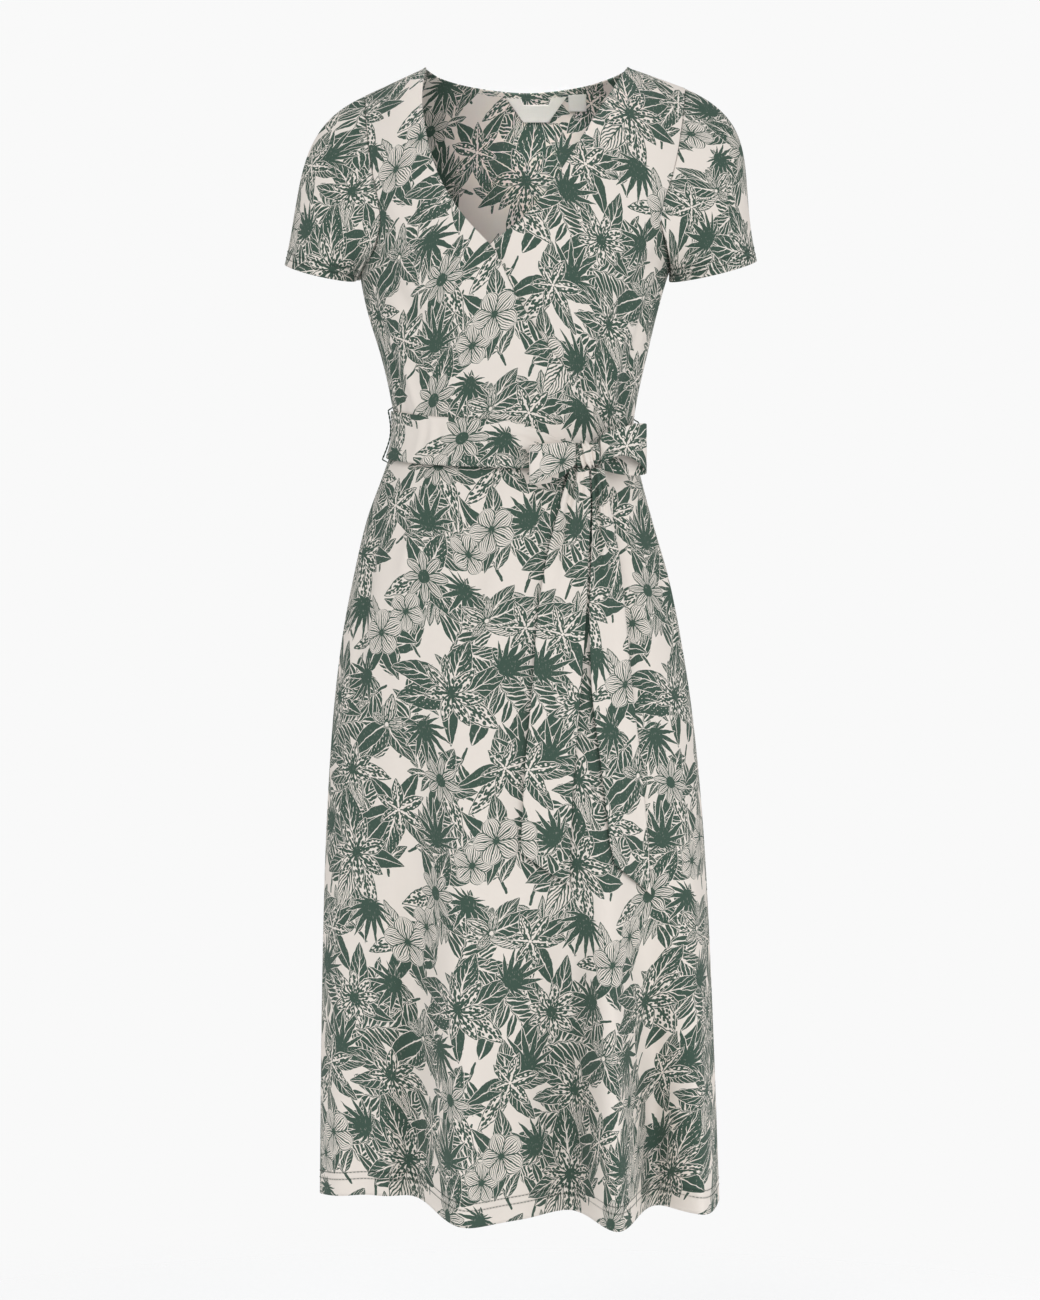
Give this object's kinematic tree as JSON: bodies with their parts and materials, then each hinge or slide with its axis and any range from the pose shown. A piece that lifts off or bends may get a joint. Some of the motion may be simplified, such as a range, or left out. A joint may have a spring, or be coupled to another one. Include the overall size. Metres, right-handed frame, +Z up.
{
  "type": "wrap dress",
  "caption": "Short-sleeved midi dress with a crossed V-neck bodice, A-line skirt and tied self belt, worn open and hollow.",
  "frame": {"origin": "on the line of the shoulders, half way between the dress's two sides, where the wearer holds the dress up", "axes": "+Z up, out of the neck; the front faces -Y; +X is the wearer's left"},
  "size_m": [0.4717, 0.3681, 1.1301],
  "materials": {
    "printed_jersey": "matte knitted jersey with an all-over leaf and flower print in deep green on cream",
    "thread": "matte twisted sewing thread in deep green",
    "label": "smooth bare woven tape, cream"
  },
  "bodies": {
    "root": {"front_bodice_right": "printed_jersey", "front_bodice_left": "printed_jersey", "back_bodice": "printed_jersey", "sleeve_right": "printed_jersey", "sleeve_left": "printed_jersey", "skirt_front": "printed_jersey", "skirt_back": "printed_jersey", "belt_band": "printed_jersey", "belt_knot": "printed_jersey", "bow_loop_right": "printed_jersey", "bow_loop_left": "printed_jersey", "belt_tail_right": "printed_jersey", "belt_tail_left": "printed_jersey", "belt_carrier_right": "thread", "belt_carrier_left": "thread", "neck_label": "label", "size_label": "label"}
  },
  "joints": []
}
